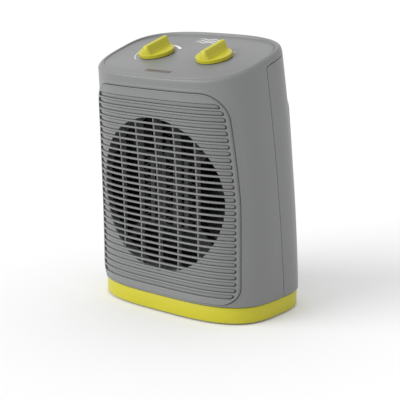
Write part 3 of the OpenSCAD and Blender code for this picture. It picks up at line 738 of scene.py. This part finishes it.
intake_louvres = join_all([intake_louvre(row) for row in range(SLOT_ROWS)],
                          "rear_grille_louvres")
cover_edge = rolled_frame(
    "rear_grille_edge", pane_line(84, 24, 213, 14, 14),
    [(0, -0.4), (0, 1.3), (-0.2, 1.8), (-0.7, 2.12), (-1.5, 2.2), (-2.4, 2.12), (-3.0, 1.95),
     (-3.0, -0.4)], rear=True)
smooth(cover_edge)
for piece in (rear_cover, intake_louvres, cover_edge):
    piece.data.materials.clear()
    piece.data.materials.append(grey_abs)
    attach(piece, "housing")
    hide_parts("rear_grille")

# ---- Plinth ----
# The yellow foot of the heater: a hoop in self-coloured ABS with softened edges, open below.
# Its tongue stands inside the two shells and leaves a thin shadow line under them.
plinth_section = [(-3.6, 2.0), (-2.0, 1.7), (-1.45, 1.85), (-1.2, 2.5), (-1.2, 16.5), (-1.4, 17.1),
                  (-2.0, 17.4), (-3.2, 17.45), (-3.3, 20.2), (-5.0, 20.2), (-5.0, 16.6),
                  (-3.6, 16.4)]


def plinth_point(i, j):
    out, z = plinth_section[j % len(plinth_section)]
    angle = column_angle(i, 1.0)
    x, y = plinth_line(angle, 0, out)
    return (x, y, z)


yellow_abs = moulded("yellow_abs", (0.42, 0.385, 0.014), roughness=0.4, grain=0.35, drift=0.03)
plinth = formed_sheet("plinth_hoop", 2 * TURNS, len(plinth_section), plinth_point, wrap=True)
smooth(plinth)
plinth.data.materials.clear()
plinth.data.materials.append(yellow_abs)
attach(plinth, "housing")
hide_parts("base_plinth")

# ---- Knobs ----
# Two yellow dials pushed on their spindles. Each is a round skirt with a tall wing across it,
# whose nose widens to the skirt's front edge and whose sides are scooped out for the fingers.
SKIRT_R, SKIRT_HEIGHT, SKIRT_GAP = 17.8, 2.6, 0.5
WING_FOOT, WING_RISE = 2.9, 9.6   # the wing starts inside the skirt and rises from there
dial_axis = Vector(dial_joint["axis"])
panel_tilt = math.atan2(-dial_axis.y, dial_axis.z)


def panel_frame(x, y, lift=0.0):
    """Places a shape that is modelled flat onto the control panel, at x and y."""
    seat = Vector((x, y, panel_z(y))) / 1000
    return (Matrix.Translation(seat) @ Matrix.Rotation(panel_tilt, 4, "X")
            @ Matrix.Translation((0, 0, lift / 1000)))


def wing_section(y):
    """Half widths and heights of the wing from its foot to its ridge, at a place along it."""
    nose = min(max((y + 17.7) / 3.4, 0), 1)
    height = WING_FOOT + WING_RISE * math.sin(math.pi / 2 * nose) ** 0.8
    chord = math.sqrt(max(17.75 ** 2 - y * y, 0.0))
    scoop = min(max((y + 14.6) / 1.6, 0), 1)
    scoop = scoop * scoop * (3 - 2 * scoop)
    ridge = min(2.5, chord)
    if y > 16.4:
        ridge *= math.sqrt(max(1 - ((y - 16.4) / 1.0) ** 2, 0.02))
    section = []
    for k in range(9):
        up = k / 8
        foot = min(chord, 7.4)
        prow = foot + (ridge - foot) * up ** 0.8
        blade = ridge + 1.9 * (1 - up) + 2.4 * max(0, 1 - up / 0.3) ** 2
        blade = min(blade, chord)
        section.append((prow + (blade - prow) * scoop,
                        WING_FOOT + (height - WING_FOOT) * up))
    edge = section[-1]
    section[-1] = (edge[0], edge[1] - 0.45)
    section += [(edge[0] * 0.93, edge[1] - 0.12), (edge[0] * 0.78, edge[1])]
    return section


wing_places = [-17.7, -17.6, -17.4, -17.1, -16.7, -16.2, -15.6, -15.1, -14.6, -14.2, -13.9, -13.6,
               -13.3, -13.0, -12.5, -9, -4, 1, 6, 11, 15, 16.4, 16.9, 17.2, 17.35, 17.4]


def wing_point(i, j):
    section = wing_section(wing_places[j])
    count = len(section)
    half, height = section[i] if i < count else section[2 * count - 1 - i]
    if j in (0, len(wing_places) - 1):
        half *= 0.2
    sunk = 0.8 if i in (0, 2 * count - 1) else 0   # the foot's edge goes into the skirt
    return (half if i < count else -half, wing_places[j], height - sunk)


def winged_dial(name, x, y):
    wing = formed_sheet("wing", 21, len(wing_places) - 1, wing_point)
    bpy.ops.object.mode_set(mode="EDIT")
    bpy.ops.mesh.select_all(action="SELECT")
    bpy.ops.mesh.fill_holes(sides=0)
    bpy.ops.mesh.select_all(action="SELECT")
    bpy.ops.mesh.normals_make_consistent(inside=False)
    bpy.ops.object.mode_set(mode="OBJECT")
    bpy.ops.object.select_all(action="DESELECT")
    bpy.ops.mesh.primitive_cylinder_add(
        vertices=96, radius=SKIRT_R / 1000, depth=SKIRT_HEIGHT / 1000,
        location=(0, 0, (SKIRT_GAP + SKIRT_HEIGHT / 2) / 1000))
    skirt = bpy.context.object
    bpy.ops.object.transform_apply(location=True, rotation=True, scale=True)
    for face in skirt.data.polygons:
        face.select = face.normal.z < -0.9
    bpy.ops.object.mode_set(mode="EDIT")
    bpy.ops.mesh.inset(thickness=0.0018)
    bpy.ops.mesh.extrude_region_move(TRANSFORM_OT_translate={"value": (0, 0, 0.0012)})
    bpy.ops.object.mode_set(mode="OBJECT")
    finish_with(skirt, "BEVEL", width=0.0006, segments=4, limit_method="ANGLE",
                angle_limit=math.radians(50))
    knob = join_all([skirt, wing], name)
    knob.data.transform(panel_frame(x, y))
    smooth(knob, 38)
    knob.data.materials.clear()
    knob.data.materials.append(yellow_abs)
    return knob


thermostat_knob = winged_dial("thermostat_dial_knob", dial_x, dial_y)
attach(thermostat_knob, "thermostat_dial")
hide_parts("thermostat_knob")
selector_knob = winged_dial("selector_dial_knob", -dial_x, dial_y)
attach(selector_knob, "selector_dial")
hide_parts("selector_knob")

# ---- Indicator lens ----
# A narrow bar of smoky pink acrylic, pressed into a slot near the front edge of the panel over a
# neon lamp, with a small dark locating notch at one end.
lens_low, lens_high = [1000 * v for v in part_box("indicator_lens")]
lens_y = (lens_low.y + lens_high.y) / 2 - 0.3
LENS_WIDTH, LENS_DEPTH, LENS_THICKNESS = 32, 6, 2.6
bpy.ops.object.select_all(action="DESELECT")
bpy.ops.mesh.primitive_cube_add(size=1)
lens = bpy.context.object
lens.name = "indicator_lens_bar"
for point in lens.data.vertices:
    point.co = Vector((LENS_WIDTH * point.co.x, LENS_DEPTH * point.co.y,
                       LENS_THICKNESS * point.co.z - 1.15)) / 1000
finish_with(lens, "BEVEL", width=0.0006, segments=3, limit_method="ANGLE")
bpy.ops.object.select_all(action="DESELECT")
bpy.ops.mesh.primitive_cube_add(size=1, location=(0.0135, 0, 0), rotation=(0, 0, -0.5))
notch = bpy.context.object
notch.scale = (0.0011, 0.008, 0.0018)
cut_with(lens, notch)
lens.data.transform(panel_frame(0, lens_y))
smooth(lens)
pink_acrylic = moulded("pink_acrylic", (0.09, 0.066, 0.065), roughness=0.34, grain=0.08)
lens.data.materials.clear()
lens.data.materials.append(pink_acrylic)
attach(lens, "housing")
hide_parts("indicator_lens")

# ---- Printed marks ----
# White pad printing on the panel: a scale round the thermostat that swells from cold to warm,
# a mark beside the selector, and three wavy lines for warm air.
PRINT_LIFT = 0.06
SCALE_R, SCALE_START, SCALE_TURN = 22.0, 240, 198   # the scale runs clockwise from its start
MARK_AT = 60


def scale_point(i, j):
    part = i / 90
    a = math.radians(SCALE_START - SCALE_TURN * part)
    middle, half = SCALE_R + 1.2 * part, 0.3 + 1.25 * part ** 2
    if i == 0:
        half = 0.12
    radius = middle + half * (2 * j - 1)
    return (radius * math.cos(a), radius * math.sin(a), 0)


def wave_point(row):
    def place(i, j):
        part = i / 48
        return (-16 + 30 * part, 17.5 + 4.2 * row + 1.0 * math.sin(math.tau * 2 * part)
                + (j - 0.5) * 1.1 * math.sin(math.pi * min(max(part, 0.04), 0.96)) ** 0.4, 0)
    return place


def pointer_point(i, j):
    a = math.radians(MARK_AT)
    radius, side = 19.2 + 3.3 * i / 8, 1.1 * (0.5 - j)
    return (radius * math.cos(a) + side * math.sin(a), radius * math.sin(a) - side * math.cos(a), 0)


def printed(piece, x, y):
    piece.data.transform(panel_frame(x, y, PRINT_LIFT))
    bpy.ops.object.select_all(action="DESELECT")
    bpy.context.view_layer.objects.active = piece
    bpy.ops.object.mode_set(mode="EDIT")
    bpy.ops.mesh.select_all(action="SELECT")
    bpy.ops.mesh.normals_make_consistent(inside=False)
    bpy.ops.object.mode_set(mode="OBJECT")
    normal = piece.data.polygons[0].normal
    if normal.z < 0:
        piece.data.flip_normals()
    finish_with(piece, "SOLIDIFY", thickness=0.00005, offset=-1)
    piece.data.materials.clear()
    piece.data.materials.append(white_ink)
    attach(piece, "housing")
    return piece


white_ink = moulded("white_ink", (0.78, 0.79, 0.79), roughness=0.5, grain=0.2, drift=0.02)
printed(formed_sheet("print_thermostat_scale", 90, 1, scale_point), dial_x, dial_y)
printed(formed_sheet("print_selector_mark", 8, 1, pointer_point), -dial_x, dial_y)
for row in range(3):
    printed(formed_sheet(f"print_warm_air_{row}", 48, 1, wave_point(row)), 0, 0)

# ---- Base plate, feet, gland and screws ----
# Underneath, a black plate closes the plinth and four rubber pads are pressed into it. The cord's
# gland is a black nylon bush in the back, and black steel screws hold the back and the base.
black_nylon = moulded("black_nylon", (0.012, 0.012, 0.013), roughness=0.5, grain=0.6)
foot_rubber = moulded("foot_rubber", (0.02, 0.02, 0.02), roughness=0.8, grain=1.0)


def metal(name, colour, roughness, lay=(1, 1, 1), depth=0.25):
    """Bare or plated metal, with fine marks that run the way it was rolled, drawn or turned."""
    material = bpy.data.materials.new(name)
    material.use_nodes = True
    nodes, links = material.node_tree.nodes, material.node_tree.links
    shader = nodes["Principled BSDF"]
    shader.inputs["Metallic"].default_value = 1.0
    place = nodes.new("ShaderNodeTexCoord")
    along = nodes.new("ShaderNodeMapping")
    along.inputs["Scale"].default_value = lay
    marks = nodes.new("ShaderNodeTexNoise")
    marks.inputs["Scale"].default_value = 700
    marks.inputs["Detail"].default_value = 3
    links.new(place.outputs["Object"], along.inputs["Vector"])
    links.new(along.outputs["Vector"], marks.inputs["Vector"])
    tone = nodes.new("ShaderNodeMix")
    tone.data_type = "RGBA"
    tone.inputs["A"].default_value = [0.86 * c for c in colour] + [1]
    tone.inputs["B"].default_value = list(colour) + [1]
    links.new(marks.outputs["Fac"], tone.inputs["Factor"])
    links.new(tone.outputs["Result"], shader.inputs["Base Color"])
    gloss = nodes.new("ShaderNodeMapRange")
    gloss.inputs["To Min"].default_value = roughness - 0.06
    gloss.inputs["To Max"].default_value = roughness + 0.1
    links.new(marks.outputs["Fac"], gloss.inputs["Value"])
    links.new(gloss.outputs["Result"], shader.inputs["Roughness"])
    relief = nodes.new("ShaderNodeBump")
    relief.inputs["Strength"].default_value = depth
    relief.inputs["Distance"].default_value = 0.00005
    links.new(marks.outputs["Fac"], relief.inputs["Height"])
    links.new(relief.outputs["Normal"], shader.inputs["Normal"])
    return material


def dress(material, *names):
    """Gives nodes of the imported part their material."""
    for name in names:
        node = frame["nodes"][name]
        node.data.materials.clear()
        node.data.materials.append(material)


black_oxide = metal("black_oxide", (0.06, 0.06, 0.06), 0.4)
dress(black_nylon, "base_plate", "cord_gland")
dress(foot_rubber, "foot_pads")
dress(black_oxide, "rear_screws", "base_screws")

# ---- Fan and motor ----
# A moulded five-bladed fan on the shaft of a shaded motor, which a pressed steel spider holds
# in the middle of a black duct.
fan_nylon = moulded("fan_nylon", (0.02, 0.021, 0.022), roughness=0.42, grain=0.4)
zinc_plate = metal("zinc_plate", (0.22, 0.223, 0.226), 0.5)
ground_steel = metal("ground_steel", (0.6, 0.6, 0.62), 0.22, lay=(1, 0.05, 1))
sintered_bronze = metal("sintered_bronze", (0.42, 0.26, 0.12), 0.45)
lamination_steel = metal("lamination_steel", (0.12, 0.11, 0.11), 0.5, lay=(0.2, 6, 0.2))
dress(black_nylon, "fan_duct")
dress(fan_nylon, "impeller")
dress(zinc_plate, "motor_bracket", "motor_can", "motor_screws", "impeller_nut")
dress(ground_steel, "motor_shaft")
dress(sintered_bronze, "motor_bushings")
dress(lamination_steel, "motor_stator", "motor_rotor")

# ---- Heating element ----
# Ceramic bars with folded aluminium fins between them, in a frame of dark heat-proof nylon.
# A thermal cutout and a fuse sit on the frame.
heat_nylon = moulded("heat_nylon", (0.016, 0.016, 0.016), roughness=0.55, grain=0.7)
# The ceramic bars' near-black is partly the ceramic's own dark grey and partly painted shade for
# the inside of the housing.
ceramic_with_painted_shade = moulded("ceramic_with_painted_shade", (0.05, 0.05, 0.049), roughness=0.75, grain=0.9, drift=0.08)
# The fins and brass tabs are coloured far darker than bare aluminium and brass: painted shade for
# the inside of the housing behind the grille.
fin_aluminium_with_painted_shade = metal("fin_aluminium_with_painted_shade", (0.07, 0.072, 0.075), 0.62, lay=(1, 0.2, 1))
tab_brass_with_painted_shade = metal("tab_brass_with_painted_shade", (0.12, 0.095, 0.05), 0.6)
dress(heat_nylon, "heater_frame")
dress(ceramic_with_painted_shade, "ceramic_bars")
dress(fin_aluminium_with_painted_shade, "heater_fins", "thermal_fuse", "thermal_cutout")
dress(tab_brass_with_painted_shade, "heater_terminals")

# ---- Tip-over switch ----
# A small switch on the base plate, whose moulded plunger a coil spring pushes out through the
# plate when the heater is lifted.
cream_urea = moulded("cream_urea", (0.6, 0.56, 0.46), roughness=0.4, grain=0.3)
dress(black_nylon, "tip_switch")
dress(cream_urea, "tip_plunger")
dress(ground_steel, "tip_spring")

# ---- Controls and wiring ----
# The thermostat, the selector and the lamp hang from a steel bracket under the panel. Jacketed
# leads bring the current up from the terminal block.
lamp_glass = moulded("lamp_glass", (0.6, 0.26, 0.12), roughness=0.12, grain=0.05)
# The leads' red is darkened below the PVC's own colour as painted shade for the inside of the
# housing.
lead_pvc_with_painted_shade = moulded("lead_pvc_with_painted_shade", (0.12, 0.02, 0.015), roughness=0.45, grain=0.4)
dress(zinc_plate, "control_bracket", "bracket_screws")
dress(cream_urea, "thermostat_body", "thermostat_spindle", "selector_spindle", "terminal_block")
dress(black_nylon, "selector_body")
dress(lamp_glass, "indicator_lamp")
dress(lead_pvc_with_painted_shade, "inner_leads")
